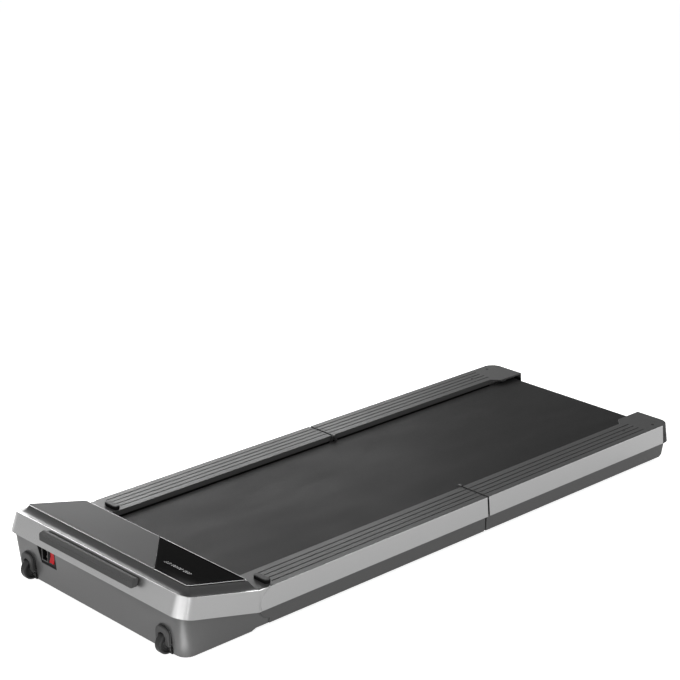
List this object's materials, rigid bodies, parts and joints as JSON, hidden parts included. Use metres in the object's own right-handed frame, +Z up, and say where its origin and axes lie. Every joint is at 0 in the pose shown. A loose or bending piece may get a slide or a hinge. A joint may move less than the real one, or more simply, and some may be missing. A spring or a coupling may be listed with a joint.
{
  "type": "folding walking pad",
  "caption": "Flat folding walking pad with a wedge-shaped motor housing, a slanted glass display, silver side rails and two transport wheels.",
  "frame": {"origin": "on the floor, below the middle of the whole pad lying flat", "axes": "+Y runs from the wedge housing at the front to the rear end, +X to the right seen from the front housing looking to the rear, +Z up"},
  "size_m": [0.5514, 1.4378, 0.1399],
  "materials": {
    "silver_metal": "brushed",
    "grey_plastic": "satin",
    "dark_plastic": "fine texture",
    "black_plastic": "fine texture",
    "red_plastic": "smooth",
    "panel_metal": "brushed, anodised grey",
    "black_glass": "polished",
    "board": "lacquered",
    "belt_rubber": "fine diamond texture",
    "drive_rubber": "ribbed",
    "foot_rubber": "matt",
    "bumper_rubber": "matt",
    "wheel_rubber": "matt",
    "deck_board": "waxed, black faced",
    "frame_steel": "powder coat",
    "bright_steel": "turned",
    "dark_screw": "black",
    "controller_aluminium": "cast"
  },
  "bodies": {
    "front_half": {"lower_housing": "dark_plastic", "housing_band": "silver_metal", "upper_cover": "dark_plastic", "panel_plate": "panel_metal", "display_glass": "black_glass", "display_board": "board", "stand_bar": "grey_plastic", "wheel_bracket_left": "black_plastic", "wheel_bracket_right": "black_plastic", "wheel_axles": "bright_steel", "inlet_cup": "black_plastic", "inlet_socket": "black_plastic", "inlet_pins": "bright_steel", "switch_frame": "black_plastic", "side_rail_front_left": "silver_metal", "side_rail_front_right": "silver_metal", "foot_rail_front_left": "grey_plastic", "foot_rail_front_right": "grey_plastic", "skirt_front_left": "dark_plastic", "skirt_front_right": "dark_plastic", "front_deck": "deck_board", "front_deck_cushions": "foot_rubber", "front_frame": "frame_steel", "front_base_pan": "black_plastic", "hinge_ears_front": "frame_steel", "hinge_pins": "bright_steel", "drive_roller_shaft": "bright_steel", "motor_case": "frame_steel", "motor_mount": "frame_steel", "drive_belt": "drive_rubber", "controller_case": "controller_aluminium", "running_belt_front": "belt_rubber", "rail_plugs_front": "black_plastic", "fold_bumpers": "bumper_rubber", "front_feet": "foot_rubber"},
    "rear_half": {"side_rail_rear_left": "silver_metal", "side_rail_rear_right": "silver_metal", "foot_rail_rear_left": "grey_plastic", "foot_rail_rear_right": "grey_plastic", "skirt_rear_left": "dark_plastic", "skirt_rear_right": "dark_plastic", "rear_deck": "deck_board", "rear_deck_cushions": "foot_rubber", "rear_frame": "frame_steel", "rear_base_pan": "black_plastic", "hinge_ears_rear": "frame_steel", "idler_roller_shaft": "bright_steel", "tension_bolts": "dark_screw", "running_belt_rear": "belt_rubber", "cap_screws": "dark_screw", "rear_feet": "foot_rubber", "rail_plugs_rear": "black_plastic"},
    "drive_roller": {"drive_roller": "bright_steel", "drive_roller_bearings": "bright_steel"},
    "idler_roller": {"idler_roller": "bright_steel", "idler_roller_bearings": "bright_steel"},
    "motor_rotor": {"motor_rotor": "bright_steel"},
    "wheel_left": {"wheel_left": "wheel_rubber"},
    "wheel_right": {"wheel_right": "wheel_rubber"},
    "rocker": {"rocker": "red_plastic"}
  },
  "joints": [
    {"name": "deck_fold", "type": "hinge", "parent": "front_half", "child": "rear_half", "pos_m": [0, 0.10615, 0.0872], "axis": [1, 0, 0], "range_deg": [0, 179.2]},
    {"name": "drive_roller_spin", "type": "hinge", "parent": "front_half", "child": "drive_roller", "pos_m": [0, -0.57285, 0.0541], "axis": [1, 0, 0], "continuous": true},
    {"name": "idler_roller_spin", "type": "hinge", "parent": "rear_half", "child": "idler_roller", "pos_m": [0, 0.68915, 0.0541], "axis": [1, 0, 0], "continuous": true},
    {"name": "motor_spin", "type": "hinge", "parent": "front_half", "child": "motor_rotor", "pos_m": [0, -0.64485, 0.064], "axis": [1, 0, 0], "continuous": true},
    {"name": "wheel_left_spin", "type": "hinge", "parent": "front_half", "child": "wheel_left", "pos_m": [-0.212, -0.69385, 0.0215], "axis": [1, 0, 0], "continuous": true},
    {"name": "wheel_right_spin", "type": "hinge", "parent": "front_half", "child": "wheel_right", "pos_m": [0.212, -0.69385, 0.0215], "axis": [1, 0, 0], "continuous": true},
    {"name": "power_rocker_tilt", "type": "hinge", "parent": "front_half", "child": "rocker", "pos_m": [-0.1338, -0.69435, 0.071], "axis": [1, 0, 0], "range_deg": [0, 18]}
  ],
  "couplings": [
    {"joint": "idler_roller_spin", "follows": "drive_roller_spin", "ratio": 1},
    {"joint": "motor_spin", "follows": "drive_roller_spin", "ratio": 2.5}
  ]
}
